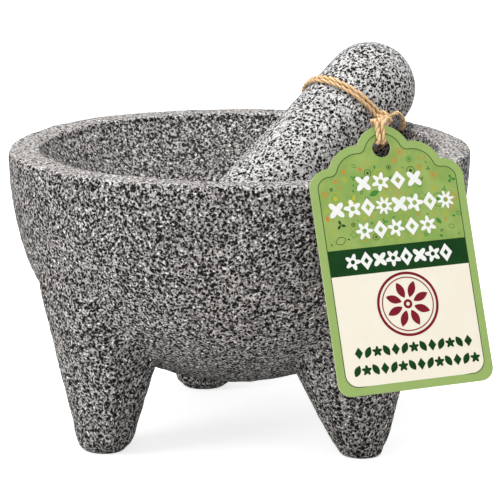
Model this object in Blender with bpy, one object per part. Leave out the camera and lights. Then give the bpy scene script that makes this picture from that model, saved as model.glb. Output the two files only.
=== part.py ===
"""Molcajete: a three-legged mortar of vesicular basalt with its pestle, a length of jute twine tied
round the pestle, and a die-cut card tag hung from the twine.

Frame: metres, +Z up, origin on the ground plane under the middle of the bowl. -Y is the front.
"""
import bpy
import bmesh
import numpy as np
from math import pi, sin, cos, tan, radians, sqrt, hypot, exp, atan2
from mathutils import Matrix, Vector

MM = 0.001

# ---------------------------------------------------------------- driving dimensions (metres)
RIM_Z = 128.0 * MM            # height of the flat rim above the ground
R_OUT = 102.2 * MM            # outer radius just under the rim
R_IN = 88.0 * MM              # inner radius at the rim
RIM_EDGE = 2.6 * MM           # rounding of both rim edges
BELLY = 104.6 * MM            # rim to the lowest point of the belly
BELLY_CURVE = 100.0 * MM      # radius of curvature under the belly
CAVITY = 60.0 * MM            # depth of the grinding bowl

FOOT_RING = 72.0 * MM         # feet: distance of each centre from the bowl's axis
FOOT_PAD = 9.6 * MM           # radius of the flat that stands on the ground
# azimuth from the front towards +X, half-width at the ankle, flare per metre of height, inward lean
FEET = (
    ("left", -54.8, 11.2 * MM, 0.261, 0.04),
    ("right", 47.8, 10.3 * MM, 0.385, 0.18),
    ("back", 193.8, 12.4 * MM, 0.265, 0.06),
)
FOOT_TOP = 92.0 * MM
ENVELOPE_0 = 83.5 * MM        # the blank that the legs are carved from: radius at the ground
ENVELOPE_SLOPE = 0.207
MERGE = (70.0 * MM, 92.0 * MM)   # heights between which a leg's outer side runs into the bowl's wall

PESTLE_R = 21.2 * MM
PESTLE_SPAN = 96.9 * MM       # between the centres of the two round ends
PESTLE_AZ = radians(39.0)     # horizontal direction of the lean, from +X towards +Y
PESTLE_TOP = Vector((60.2, 50.7, 146.7)) * MM   # centre of the upper round end
PESTLE_FOOT_Z = 89.7 * MM     # height of the centre of the lower round end
GAP = 0.3 * MM

TWINE_D = 1.8 * MM
BAND_S = (17.0 * MM, 19.2 * MM)   # the two turns, measured down from the upper end's centre
BAND_TILT = (-2.0 * MM, -0.3 * MM)
KNOT_PHI = radians(51.0)      # round the pestle, from its lower right side towards the front
KNOT_R = (3.6 * MM, 3.1 * MM, 2.6 * MM)
# loose end: degrees round the pestle, then mm down from its upper centre and mm off the stone
TAIL = (
    (44.3, 12.4, 1.30),
    (44.6, 10.2, 1.50),
    (43.4, 8.3, 1.95),
    (39.0, 7.0, 2.45),
    (32.0, 6.3, 2.85),
    (25.0, 6.2, 3.05),
    (16.5, 6.9, 3.10),
)

TAG_YAW = radians(17.0)       # the card turns to the right,
TAG_TILT = radians(20.0)      # leans back at the top,
TAG_ROLL = radians(2.4)       # and hangs a little off plumb
TAG_OFFSET = 102.9 * MM       # back face to the bowl's axis, at rim height
TAG_THICK = 0.8 * MM
TAG_HOLE_ACROSS = 31.3 * MM   # hole from the foot of that perpendicular, along the card
TAG_HOLE_UP = 13.8 * MM       # hole above the rim, along the card
TAG_HOLE_R = 4.0 * MM
TAG_HALF_W = 33.6 * MM
TAG_TOP = 9.4 * MM           # from the hole's centre up to the top lobe
TAG_BOTTOM = 100.1 * MM        # from the hole's centre down to the lower edge
TAG_CORNER = 5.6 * MM
TAG_SHIFT = 0.5 * MM          # the hole is this far left of the card's middle line


# ---------------------------------------------------------------- scene and helpers
for old in list(bpy.data.objects):
    bpy.data.objects.remove(old, do_unlink=True)


def material(name, colour, roughness, metallic=0.0):
    m = bpy.data.materials.new(name)
    m.use_nodes = True
    b = m.node_tree.nodes["Principled BSDF"]
    b.inputs["Base Color"].default_value = (*colour, 1.0)
    b.inputs["Roughness"].default_value = roughness
    b.inputs["Metallic"].default_value = metallic
    m.diffuse_color = (*colour, 1.0)
    return m


def place(name, mesh, mat, location=(0, 0, 0), parent=None):
    o = bpy.data.objects.new(name, mesh)
    bpy.context.scene.collection.objects.link(o)
    o.data.materials.append(mat)
    if parent is not None:
        o.parent = parent
    o.location = location
    return o


def empty(name, location):
    e = bpy.data.objects.new(name, None)
    e.empty_display_size = 0.02
    bpy.context.scene.collection.objects.link(e)
    e.location = location
    return e


def lathe(name, profile, segments):
    """A closed body of revolution about Z from (radius, z) points that run from the top pole, or from a
    point on the axis, down the outside to the bottom pole."""
    bm = bmesh.new()
    rings = []
    for r, z in profile:
        if r < 1e-7:
            rings.append([bm.verts.new((0, 0, z))])
        else:
            rings.append([bm.verts.new((r * cos(2 * pi * k / segments), r * sin(2 * pi * k / segments), z))
                          for k in range(segments)])
    for a, b in zip(rings, rings[1:]):
        for k in range(segments):
            j = (k + 1) % segments
            if len(a) == 1:
                bm.faces.new((a[0], b[k], b[j]))
            elif len(b) == 1:
                bm.faces.new((a[k], b[0], a[j]))
            else:
                bm.faces.new((a[k], b[k], b[j], a[j]))
    bmesh.ops.recalc_face_normals(bm, faces=bm.faces)
    mesh = bpy.data.meshes.new(name)
    bm.to_mesh(mesh)
    bm.free()
    return mesh


def smooth(mesh, angle=40):
    mesh.shade_smooth()
    mesh.set_sharp_from_angle(angle=radians(angle))


def boolean(target, cutter, operation):
    mod = target.modifiers.new(operation.lower() + "_" + cutter.name, "BOOLEAN")
    mod.operation = operation
    mod.solver = "EXACT"
    mod.object = cutter
    cutter.hide_render = True
    cutter.display_type = "WIRE"
    return mod


# ---------------------------------------------------------------- mortar
def wall_radius(dz):
    """Outer radius at a depth dz below the rim: a full, boxy side that runs into a round belly."""
    t = min(max(dz / BELLY, 0.0), 1.0)
    side = R_OUT * max(1 - t ** 2.07, 0.0) ** (1 / 3.1)
    under = sqrt(2 * BELLY_CURVE * max(BELLY - dz, 0.0))
    if side <= 0 or under <= 0:
        return 0.0
    k = 20
    return side * (1 + (side / under) ** k) ** (-1 / k)


def outer_profile():
    pts = [(0.0, RIM_Z), (R_OUT - 16 * MM, RIM_Z)]
    for k in range(5):
        a = pi / 2 * (1 - k / 4)
        pts.append((R_OUT - RIM_EDGE + RIM_EDGE * cos(a), RIM_Z - RIM_EDGE + RIM_EDGE * sin(a)))
    n = 17
    for k in range(1, n):
        dz = RIM_EDGE + (BELLY - RIM_EDGE) * sin(pi / 2 * k / n)
        pts.append((wall_radius(dz), RIM_Z - dz))
    pts.append((0.0, RIM_Z - BELLY))
    return pts


def cavity_profile():
    sphere = (R_IN ** 2 + CAVITY ** 2) / (2 * CAVITY)
    centre = RIM_Z - CAVITY + sphere
    pts = [(0.0, RIM_Z + 12 * MM), (R_IN + RIM_EDGE, RIM_Z + 12 * MM)]
    for k in range(5):
        a = pi / 2 * k / 4
        pts.append((R_IN + RIM_EDGE - RIM_EDGE * sin(a), RIM_Z - RIM_EDGE + RIM_EDGE * cos(a)))
    start = math_asin((R_IN - 0.6 * MM) / sphere)
    n = 12
    for k in range(1, n):
        a = start * (1 - k / n)
        pts.append((sphere * sin(a), centre - sphere * cos(a)))
    pts.append((0.0, centre - sphere))
    return pts


def math_asin(x):
    return atan2(x, sqrt(max(1 - x * x, 0.0)))


def foot_mesh(name, azimuth, ankle, flare, lean):
    """A tapered leg on a flat pad. Its outer side is trimmed to the round blank."""
    a = radians(azimuth)
    radial = Vector((sin(a), -cos(a), 0))
    levels = [(0.0, FOOT_PAD), (1.0 * MM, FOOT_PAD + 1.4 * MM), (3.0 * MM, ankle + 0.9 * MM)]
    for k in range(1, 9):
        z = 3.0 * MM + (FOOT_TOP - 3.0 * MM) * k / 8
        levels.append((z, ankle + flare * z))
    segments = 28
    bm = bmesh.new()
    rings = []
    for z, r in levels:
        centre = radial * (FOOT_RING - lean * z)
        f = min(max((z - MERGE[0]) / (MERGE[1] - MERGE[0]), 0.0), 1.0)
        f = f * f * (3 - 2 * f)
        limit = (ENVELOPE_0 + ENVELOPE_SLOPE * z) * (1 - f) + (wall_radius(RIM_Z - z) - 0.4 * MM) * f
        ring = []
        for k in range(segments):
            t = 2 * pi * k / segments
            p = centre + Vector((r * cos(t), r * sin(t), 0))
            d = hypot(p.x, p.y)
            if z > 3.5 * MM and d > limit - 4 * MM:
                over = d - (limit - 4 * MM)
                d2 = limit - 4 * MM + 4 * MM * (1 - exp(-over / (4 * MM)))
                p = p * (d2 / d)
            ring.append(bm.verts.new((p.x, p.y, z)))
        rings.append(ring)
    bm.faces.new(list(reversed(rings[0])))
    bm.faces.new(rings[-1])
    for lo, hi in zip(rings, rings[1:]):
        for k in range(segments):
            j = (k + 1) % segments
            bm.faces.new((lo[k], lo[j], hi[j], hi[k]))
    bmesh.ops.recalc_face_normals(bm, faces=bm.faces)
    mesh = bpy.data.meshes.new(name)
    bm.to_mesh(mesh)
    bm.free()
    return mesh


stone = material("basalt_mortar", (0.235, 0.228, 0.224), 0.92)
stone_light = material("basalt_pestle", (0.400, 0.395, 0.395), 0.90)

mortar = place("mortar", lathe("mortar", outer_profile(), 72), stone)
for label, azimuth, ankle, flare, lean in FEET:
    leg = place("guide_leg_" + label, foot_mesh("guide_leg_" + label, azimuth, ankle, flare, lean), stone)
    boolean(mortar, leg, "UNION")
cavity = place("cutter_cavity", lathe("cutter_cavity", cavity_profile(), 72), stone)
boolean(mortar, cavity, "DIFFERENCE")
smooth(mortar.data, 38)

# ---------------------------------------------------------------- pestle
run = PESTLE_TOP.z - PESTLE_FOOT_Z
level = sqrt(PESTLE_SPAN ** 2 - run ** 2)
AXIS = Vector((cos(PESTLE_AZ) * level, sin(PESTLE_AZ) * level, run)) / PESTLE_SPAN
PESTLE_END = PESTLE_TOP - AXIS * PESTLE_SPAN


def pestle_profile():
    pts = [(0.0, PESTLE_R)]
    for k in range(1, 9):
        a = pi / 2 * k / 8
        pts.append((PESTLE_R * sin(a), PESTLE_R * cos(a)))
    for k in range(1, 4):
        pts.append((PESTLE_R, -PESTLE_SPAN * k / 4))
    for k in range(0, 8):
        a = pi / 2 * k / 8
        pts.append((PESTLE_R * cos(a), -PESTLE_SPAN - PESTLE_R * sin(a)))
    pts.append((0.0, -PESTLE_SPAN - PESTLE_R))
    return pts


pestle_axis = empty("pestle_axis", PESTLE_TOP)
pestle_axis.rotation_euler = AXIS.to_track_quat("Z", "Y").to_euler()
pestle = place("pestle", lathe("pestle", pestle_profile(), 40), stone_light, parent=pestle_axis)
smooth(pestle.data, 60)

# ---------------------------------------------------------------- twine
twine_mat = material("jute_twine", (0.62, 0.40, 0.19), 0.85)

# round the pestle: SIDE points to its lower right, FRONT to the front, both square to AXIS
LOOK = Vector((0, cos(radians(11.7)), -sin(radians(11.7))))
FRONT = -(LOOK - AXIS * LOOK.dot(AXIS)).normalized()
SIDE = FRONT.cross(AXIS).normalized()
if SIDE.x < 0:
    SIDE = -SIDE


def on_pestle(phi, s, lift):
    """A point lift outside the pestle's side, at angle phi from SIDE towards FRONT, s below the top centre."""
    r = PESTLE_R
    if s < 0:
        r = sqrt(max(PESTLE_R ** 2 - s ** 2, 0))
    d = SIDE * cos(phi) + FRONT * sin(phi)
    return PESTLE_TOP - AXIS * s + d * (r + lift)


def resample(points, spacing):
    """Steps along a Catmull-Rom curve through the points. spacing is a length, or a function of the place."""
    step = spacing if callable(spacing) else (lambda p: spacing)
    P = [points[0] + (points[0] - points[1])] + list(points) + [points[-1] + (points[-1] - points[-2])]
    dense = []
    for i in range(1, len(P) - 2):
        for k in range(24):
            t = k / 24
            a, b, c, d = P[i - 1], P[i], P[i + 1], P[i + 2]
            dense.append(0.5 * ((2 * b) + (c - a) * t + (2 * a - 5 * b + 4 * c - d) * t * t
                                + (3 * b - a - 3 * c + d) * t ** 3))
    dense.append(P[-2])
    share = [0.0]
    for a, b in zip(dense, dense[1:]):
        share.append(share[-1] + (b - a).length / step((a + b) / 2))
    n = max(3, round(share[-1]))
    out, j = [], 0
    for k in range(n + 1):
        want = share[-1] * k / n
        while j < len(share) - 2 and share[j + 1] < want:
            j += 1
        f = (want - share[j]) / max(share[j + 1] - share[j], 1e-12)
        out.append(dense[j].lerp(dense[j + 1], min(max(f, 0), 1)))
    return out


def cord(name, points, origin, parent, spacing=4.2 * MM):
    pts = resample(points, spacing)
    curve = bpy.data.curves.new(name, "CURVE")
    curve.dimensions = "3D"
    curve.bevel_depth = TWINE_D / 2
    curve.bevel_resolution = 2
    curve.use_fill_caps = True
    curve.twist_mode = "MINIMUM"
    sp = curve.splines.new("POLY")
    sp.points.add(len(pts) - 1)
    for q, p in zip(sp.points, pts):
        q.co = (*(p - origin), 1.0)
    o = place(name, curve, twine_mat, parent=parent)
    return o, pts


LIFT = GAP + TWINE_D / 2
KNOT = on_pestle(KNOT_PHI, 0.5 * (BAND_S[0] + BAND_S[1]) - 2.0 * MM, KNOT_R[2] + GAP)
knot_side = (FRONT * cos(KNOT_PHI) - SIDE * sin(KNOT_PHI)).normalized()      # along the bands
knot_out = (SIDE * cos(KNOT_PHI) + FRONT * sin(KNOT_PHI)).normalized()       # away from the pestle

knot_hub = empty("knot_hub", KNOT)


def knot_mesh():
    """The knot's outer shape: a rounded lump with two shallow grooves where the strands cross."""
    bm = bmesh.new()
    bmesh.ops.create_icosphere(bm, subdivisions=3, radius=1.0)
    basis = Matrix((knot_side, AXIS, knot_out)).transposed()
    for v in bm.verts:
        p = v.co.copy()
        groove = 1 - 0.10 * exp(-((p.x - 0.8 * p.y) / 0.22) ** 2) - 0.08 * exp(-((p.x + 0.9 * p.y) / 0.22) ** 2)
        p = Vector((p.x * KNOT_R[0], p.y * KNOT_R[1], p.z * KNOT_R[2])) * groove
        v.co = basis @ p
    bmesh.ops.recalc_face_normals(bm, faces=bm.faces)
    mesh = bpy.data.meshes.new("twine_knot")
    bm.to_mesh(mesh)
    bm.free()
    mesh.shade_smooth()
    return mesh


place("twine_knot", knot_mesh(), twine_mat, parent=knot_hub)

# the two turns leave the knot on one side and come back on the other
band_end = (KNOT_R[0] + GAP + 0.2 * MM) / (PESTLE_R + LIFT)
for label, s0, pull in (("upper", BAND_S[0], 0.0), ("lower", BAND_S[1], 0.0)):
    n = 40
    route = []
    for k in range(n + 1):
        phi = KNOT_PHI + band_end + (2 * pi - 2 * band_end) * k / n
        s = s0 + BAND_TILT[0] * cos(phi) + BAND_TILT[1] * sin(phi)
        route.append(on_pestle(phi, s, LIFT))
    cord("twine_band_" + label, route, KNOT, knot_hub)

# the loose end: out of the knot's upper side, over the shoulder of the pestle and down again
tail = []
for k in range(6 * 3 + 1):
    i, t = min(k // 3, 5), k / 3 - min(k // 3, 5)
    four = [TAIL[min(max(j, 0), 6)] for j in (i - 1, i, i + 1, i + 2)]
    phi, s, lift = (
        0.5 * (2 * q + (r - p) * t + (2 * p - 5 * q + 4 * r - u) * t * t + (3 * q - p - 3 * r + u) * t ** 3)
        for p, q, r, u in zip(*four)
    )
    tail.append(on_pestle(radians(phi), s * MM, lift * MM))
cord("twine_tail", tail, KNOT, knot_hub)

# ---------------------------------------------------------------- tag
card_mat = material("printed_card", (0.33, 0.50, 0.16), 0.55)

flat_right = Vector((cos(TAG_YAW), sin(TAG_YAW), 0))
NORMAL = Vector((sin(TAG_YAW) * cos(TAG_TILT), -cos(TAG_YAW) * cos(TAG_TILT), sin(TAG_TILT)))
flat_up = -Vector((sin(TAG_YAW) * sin(TAG_TILT), -cos(TAG_YAW) * sin(TAG_TILT), -cos(TAG_TILT)))
HOLE = (Vector((sin(TAG_YAW), -cos(TAG_YAW), 0)) * TAG_OFFSET + Vector((0, 0, RIM_Z))
        + flat_right * TAG_HOLE_ACROSS + flat_up * TAG_HOLE_UP + NORMAL * (TAG_THICK / 2))
RIGHT = flat_right * cos(TAG_ROLL) + flat_up * sin(TAG_ROLL)
UP = flat_up * cos(TAG_ROLL) - flat_right * sin(TAG_ROLL)


def arc_points(p, q, bulge, n):
    """Points on a circular arc from p to q, not counting q, that stands bulge to the left of the chord."""
    p, q = Vector((*p, 0)), Vector((*q, 0))
    chord = q - p
    half = chord.length / 2
    r = (half ** 2 + bulge ** 2) / (2 * bulge)
    side = Vector((-chord.y, chord.x, 0)).normalized()
    centre = (p + q) / 2 - side * (r - bulge)
    a0 = atan2(p.y - centre.y, p.x - centre.x)
    a1 = atan2(q.y - centre.y, q.x - centre.x)
    if a1 > a0:
        a1 -= 2 * pi
    return [(centre.x + r * cos(a0 + (a1 - a0) * k / n), centre.y + r * sin(a0 + (a1 - a0) * k / n))
            for k in range(n)]


def tag_outline():
    """Clockwise outline in the card's plane, x right and y up from the hole's centre."""
    w, m = TAG_HALF_W, TAG_SHIFT
    n1, n2, sh = (10.9 * MM, 1.9 * MM), (24.3 * MM, -6.6 * MM), (w, -13.6 * MM)
    half = []
    half += arc_points((0.0, TAG_TOP), n1, 1.9 * MM, 7)
    half += arc_points(n1, n2, 2.6 * MM, 8)
    half += arc_points(n2, sh, 2.1 * MM, 8)
    half.append(sh)
    half.append((w, -0.6 * TAG_BOTTOM))
    c = TAG_CORNER
    for k in range(7):
        a = pi / 2 * k / 6
        half.append((w - c + c * cos(a), -TAG_BOTTOM + c - c * sin(a)))
    left = [(-x, y) for x, y in reversed(half[1:])]
    pts = half + left
    return [(x + m, y) for x, y in pts]


def tag_mesh():
    outline = tag_outline()
    hole = [(TAG_HOLE_R * cos(2 * pi * k / 28), TAG_HOLE_R * sin(2 * pi * k / 28)) for k in range(28)]
    bm = bmesh.new()
    loops = []
    for loop in (outline, hole):
        vs = [bm.verts.new((x, y, 0)) for x, y in loop]
        es = [bm.edges.new((vs[k], vs[(k + 1) % len(vs)])) for k in range(len(vs))]
        loops.append((vs, es))
    fill = bmesh.ops.triangle_fill(bm, use_beauty=True, use_dissolve=False, edges=loops[0][1] + loops[1][1])
    faces = [f for f in fill["geom"] if isinstance(f, bmesh.types.BMFace)]
    grown = bmesh.ops.extrude_face_region(bm, geom=faces)
    for v in [g for g in grown["geom"] if isinstance(g, bmesh.types.BMVert)]:
        v.co.z += TAG_THICK
    for v in bm.verts:
        v.co.z -= TAG_THICK / 2
    bmesh.ops.recalc_face_normals(bm, faces=bm.faces)
    mesh = bpy.data.meshes.new("hang_tag")
    bm.to_mesh(mesh)
    bm.free()
    return mesh


tag_pivot = empty("tag_pivot", HOLE)
tag_pivot.rotation_euler = Matrix((RIGHT, UP, NORMAL)).transposed().to_euler()
place("hang_tag", tag_mesh(), card_mat, parent=tag_pivot)

# ---------------------------------------------------------------- hanger: two loops from the knot through the hole
hanger_hub = empty("hanger_hub", KNOT)
r = TWINE_D / 2


def on_card(x, y, out):
    """A point above the card's middle plane; out is measured along its normal."""
    return HOLE + RIGHT * x + UP * y + NORMAL * out


def near_card(p):
    """Close steps where the twine bends over the card, long ones on the way to the knot."""
    return 1.3 * MM if (p - on_card(0, 6 * MM, 0)).length < 8.5 * MM else 5.0 * MM


TURN = 2.0 * MM               # radius of the twine's turns round the card
start = (HOLE - KNOT).normalized()
for label, dx in (("left", -1.08 * MM), ("right", 1.08 * MM)):
    across = RIGHT * dx
    root = KNOT + start * (KNOT_R[0] + GAP + 0.9 * MM)
    front_root = root + across * 0.98 + Vector((0, 0, 1.12 * MM))
    back_root = root + across * 0.98 - Vector((0, 0, 1.12 * MM))
    crest = on_card(dx, TAG_TOP + 2.7 * MM, -3.0 * MM)
    route = [front_root]
    for k in range(1, 7):
        f = k / 7
        p = front_root.lerp(crest, f)
        p.z -= 2.0 * MM * sin(pi * f)
        route.append(p)
    route += [
        crest,
        on_card(dx, TAG_TOP + 2.5 * MM, -0.8 * MM),
        on_card(dx, TAG_TOP + 1.8 * MM, 1.0 * MM),
        on_card(dx, TAG_TOP + 0.1 * MM, TURN + 0.05 * MM),
        on_card(dx, 0.5 * (TAG_TOP + TAG_HOLE_R), TURN - 0.2 * MM),
    ]
    for k in range(0, 7):
        a = pi * k / 6
        route.append(on_card(dx, TAG_HOLE_R + 0.2 * MM - TURN * sin(a), TURN * cos(a)))
    low = on_card(dx, TAG_HOLE_R + 2.6 * MM, -TURN - 0.9 * MM)
    route.append(low)
    for k in range(1, 8):
        f = k / 8
        p = low.lerp(back_root, f)
        p.z -= 1.6 * MM * sin(pi * f)
        route.append(p)
    route.append(back_root)
    cord("twine_hanger_" + label, route, KNOT, hanger_hub, spacing=near_card)
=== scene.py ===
"""Looks of the molcajete: pitted basalt mortar and pestle, jute twine and a printed hang tag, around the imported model.

Metres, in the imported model's own frame. The cords follow the same routes as the model's twine.
"""

from math import atan2, cos, exp, hypot, pi, radians, sin, sqrt

import bmesh
import bpy
import numpy as np
from mathutils import Matrix, Vector


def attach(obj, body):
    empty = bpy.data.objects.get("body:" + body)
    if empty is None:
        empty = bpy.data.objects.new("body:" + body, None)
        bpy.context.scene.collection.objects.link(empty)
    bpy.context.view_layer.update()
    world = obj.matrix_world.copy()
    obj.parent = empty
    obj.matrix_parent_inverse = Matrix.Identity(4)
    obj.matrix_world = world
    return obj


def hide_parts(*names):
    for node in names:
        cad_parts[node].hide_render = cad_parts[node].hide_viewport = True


MM = 0.001

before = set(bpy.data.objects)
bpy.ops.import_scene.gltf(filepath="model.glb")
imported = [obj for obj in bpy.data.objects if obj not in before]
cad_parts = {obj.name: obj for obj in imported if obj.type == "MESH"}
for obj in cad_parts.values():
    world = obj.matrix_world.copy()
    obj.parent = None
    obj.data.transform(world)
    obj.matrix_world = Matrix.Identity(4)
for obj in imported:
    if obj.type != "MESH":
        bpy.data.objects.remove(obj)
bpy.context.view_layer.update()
scene = bpy.context.scene
scene.view_settings.view_transform = "Standard"
scene.view_settings.look = "None"

# ---------------------------------------------------------------- camera
cam_data = bpy.data.cameras.new("camera")
camera = bpy.data.objects.new("camera", cam_data)
scene.collection.objects.link(camera)
camera.location = (0.00487, -1.12787, 0.31458)
camera.rotation_euler = (radians(90 - 11.72), 0, 0)
cam_data.sensor_width = 36.0
cam_data.lens = 185.04
cam_data.clip_start, cam_data.clip_end = 0.05, 30.0
scene.camera = camera

# ---------------------------------------------------------------- dimensions, as in the model's source
RIM_Z = 128.0 * MM
R_OUT = 102.2 * MM
RIM_EDGE = 2.6 * MM
R_IN = 88.0 * MM
CAVITY = 60.0 * MM
PESTLE_R = 21.2 * MM
PESTLE_SPAN = 96.9 * MM
PESTLE_AZ = radians(39.0)
PESTLE_TOP = Vector((60.2, 50.7, 146.7)) * MM
PESTLE_FOOT_Z = 89.7 * MM
GAP = 0.3 * MM
TWINE_D = 1.8 * MM
BAND_S = (17.0 * MM, 19.2 * MM)
BAND_TILT = (-2.0 * MM, -0.3 * MM)
KNOT_PHI = radians(51.0)
KNOT_R = (3.6 * MM, 3.1 * MM, 2.6 * MM)
# loose end: degrees round the pestle, then mm down from its upper centre and mm off the stone
TAIL = (
    (44.3, 12.4, 1.30),
    (44.6, 10.2, 1.50),
    (43.4, 8.3, 1.95),
    (39.0, 7.0, 2.45),
    (32.0, 6.3, 2.85),
    (25.0, 6.2, 3.05),
    (16.5, 6.9, 3.10),
)
TAG_YAW = radians(17.0)
TAG_TILT = radians(20.0)
TAG_ROLL = radians(2.4)
TAG_OFFSET = 102.9 * MM
TAG_THICK = 0.8 * MM
TAG_HOLE_ACROSS = 31.3 * MM
TAG_HOLE_UP = 13.8 * MM
TAG_HOLE_R = 4.0 * MM
TAG_HALF_W = 33.6 * MM
TAG_TOP = 9.4 * MM
TAG_BOTTOM = 100.1 * MM
TAG_CORNER = 5.6 * MM
TAG_SHIFT = 0.5 * MM

run = PESTLE_TOP.z - PESTLE_FOOT_Z
level = sqrt(PESTLE_SPAN ** 2 - run ** 2)
AXIS = Vector((cos(PESTLE_AZ) * level, sin(PESTLE_AZ) * level, run)) / PESTLE_SPAN
PESTLE_END = PESTLE_TOP - AXIS * PESTLE_SPAN
LOOK = Vector((0, cos(radians(11.7)), -sin(radians(11.7))))
FRONT = -(LOOK - AXIS * LOOK.dot(AXIS)).normalized()
SIDE = FRONT.cross(AXIS).normalized()
if SIDE.x < 0:
    SIDE = -SIDE


# ---------------------------------------------------------------- node helpers
class Shader:
    """A material built node by node. Coordinates are the piece's own, in metres."""

    def __init__(self, name):
        self.m = bpy.data.materials.new(name)
        self.m.use_nodes = True
        self.t = self.m.node_tree
        self.bsdf = self.t.nodes["Principled BSDF"]
        self.where = self.node("ShaderNodeTexCoord").outputs["Object"]

    def node(self, kind, **settings):
        n = self.t.nodes.new(kind)
        for k, v in settings.items():
            setattr(n, k, v)
        return n

    def put(self, socket, value):
        if isinstance(value, bpy.types.NodeSocket):
            self.t.links.new(value, socket)
        elif isinstance(value, tuple) and len(value) == 3 and socket.type == "RGBA":
            socket.default_value = (*value, 1.0)
        else:
            socket.default_value = value

    def noise(self, scale, detail=2.0, rough=0.5, at=None, shift=(0, 0, 0), stretch=None, distort=0.0):
        v = at or self.where
        if shift != (0, 0, 0) or stretch:
            mp = self.node("ShaderNodeMapping")
            self.put(mp.inputs["Vector"], v)
            mp.inputs["Location"].default_value = shift
            if stretch:
                mp.inputs["Scale"].default_value = stretch
            v = mp.outputs["Vector"]
        n = self.node("ShaderNodeTexNoise")
        self.put(n.inputs["Vector"], v)
        n.inputs["Scale"].default_value = scale
        n.inputs["Detail"].default_value = detail
        n.inputs["Roughness"].default_value = rough
        n.inputs["Distortion"].default_value = distort
        return n.outputs["Fac"]

    def cells(self, scale, feature="F1", at=None, shift=(0, 0, 0), out="Distance"):
        v = at or self.where
        if shift != (0, 0, 0):
            mp = self.node("ShaderNodeMapping")
            self.put(mp.inputs["Vector"], v)
            mp.inputs["Location"].default_value = shift
            v = mp.outputs["Vector"]
        n = self.node("ShaderNodeTexVoronoi", feature=feature)
        self.put(n.inputs["Vector"], v)
        n.inputs["Scale"].default_value = scale
        return n.outputs[out]

    def warp(self, scale, amount):
        """The piece's coordinates, bent by a noise so that round shapes come out irregular."""
        n = self.node("ShaderNodeTexNoise")
        self.put(n.inputs["Vector"], self.where)
        n.inputs["Scale"].default_value = scale
        n.inputs["Detail"].default_value = 1.0
        mid = self.node("ShaderNodeVectorMath", operation="SUBTRACT")
        self.put(mid.inputs[0], n.outputs["Color"])
        mid.inputs[1].default_value = (0.5, 0.5, 0.5)
        size = self.node("ShaderNodeVectorMath", operation="SCALE")
        self.put(size.inputs[0], mid.outputs["Vector"])
        size.inputs["Scale"].default_value = amount
        add = self.node("ShaderNodeVectorMath", operation="ADD")
        self.put(add.inputs[0], size.outputs["Vector"])
        self.put(add.inputs[1], self.where)
        return add.outputs["Vector"]

    def math(self, op, a, b=0.0, c=0.0, clamp=False):
        n = self.node("ShaderNodeMath", operation=op, use_clamp=clamp)
        self.put(n.inputs[0], a)
        self.put(n.inputs[1], b)
        if len(n.inputs) > 2:
            self.put(n.inputs[2], c)
        return n.outputs[0]

    def ramp(self, x, lo, hi, a=0.0, b=1.0):
        n = self.node("ShaderNodeMapRange", interpolation_type="SMOOTHSTEP")
        self.put(n.inputs["Value"], x)
        self.put(n.inputs["From Min"], lo)
        self.put(n.inputs["From Max"], hi)
        self.put(n.inputs["To Min"], a)
        self.put(n.inputs["To Max"], b)
        return n.outputs["Result"]

    def mix(self, f, a, b):
        n = self.node("ShaderNodeMix", data_type="RGBA")
        self.put(n.inputs["Factor"], f)
        self.put(n.inputs[6], a)
        self.put(n.inputs[7], b)
        return n.outputs[2]

    def attribute(self, name):
        return self.node("ShaderNodeAttribute", attribute_name=name).outputs["Fac"]

    def bump(self, height, distance, strength=1.0, normal=None):
        n = self.node("ShaderNodeBump")
        self.put(n.inputs["Height"], height)
        n.inputs["Distance"].default_value = distance
        n.inputs["Strength"].default_value = strength
        if normal is not None:
            self.put(n.inputs["Normal"], normal)
        return n.outputs["Normal"]

    def finish(self, colour, roughness, normal=None, **plain):
        self.put(self.bsdf.inputs["Base Color"], colour)
        self.put(self.bsdf.inputs["Roughness"], roughness)
        if normal is not None:
            self.put(self.bsdf.inputs["Normal"], normal)
        for k, v in plain.items():
            self.bsdf.inputs[k.replace("_", " ")].default_value = v
        return self.m


def srgb(r, g, b):
    def one(c):
        c /= 255.0
        return c / 12.92 if c <= 0.04045 else ((c + 0.055) / 1.055) ** 2.4
    return (one(r), one(g), one(b))


# ---------------------------------------------------------------- random fields on points (numpy)
def lattice(i, seed):
    """A repeatable number from 0 to 1 for each whole-number cell."""
    h = (i[..., 0].astype(np.int64) * 73856093) ^ (i[..., 1].astype(np.int64) * 19349663)
    h = h ^ (i[..., 2].astype(np.int64) * 83492791) ^ (seed * 40503 * 2654435)
    h = (h ^ (h >> 15)) * 2246822519 & 0xFFFFFFFF
    h = (h ^ (h >> 13)) * 3266489917 & 0xFFFFFFFF
    h = h ^ (h >> 16)
    return (h & 0xFFFFFF) / float(0xFFFFFF)


def field(P, size, seed):
    """Smooth noise from -1 to 1 with features about size across."""
    q = P / size + 1000.0
    i = np.floor(q)
    f = q - i
    f = f * f * (3 - 2 * f)
    total = np.zeros(len(P))
    for dx in (0, 1):
        for dy in (0, 1):
            for dz in (0, 1):
                w = (f[:, 0] if dx else 1 - f[:, 0]) * (f[:, 1] if dy else 1 - f[:, 1]) * (f[:, 2] if dz else 1 - f[:, 2])
                total += w * lattice(i + (dx, dy, dz), seed)
    return total * 2 - 1


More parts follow.
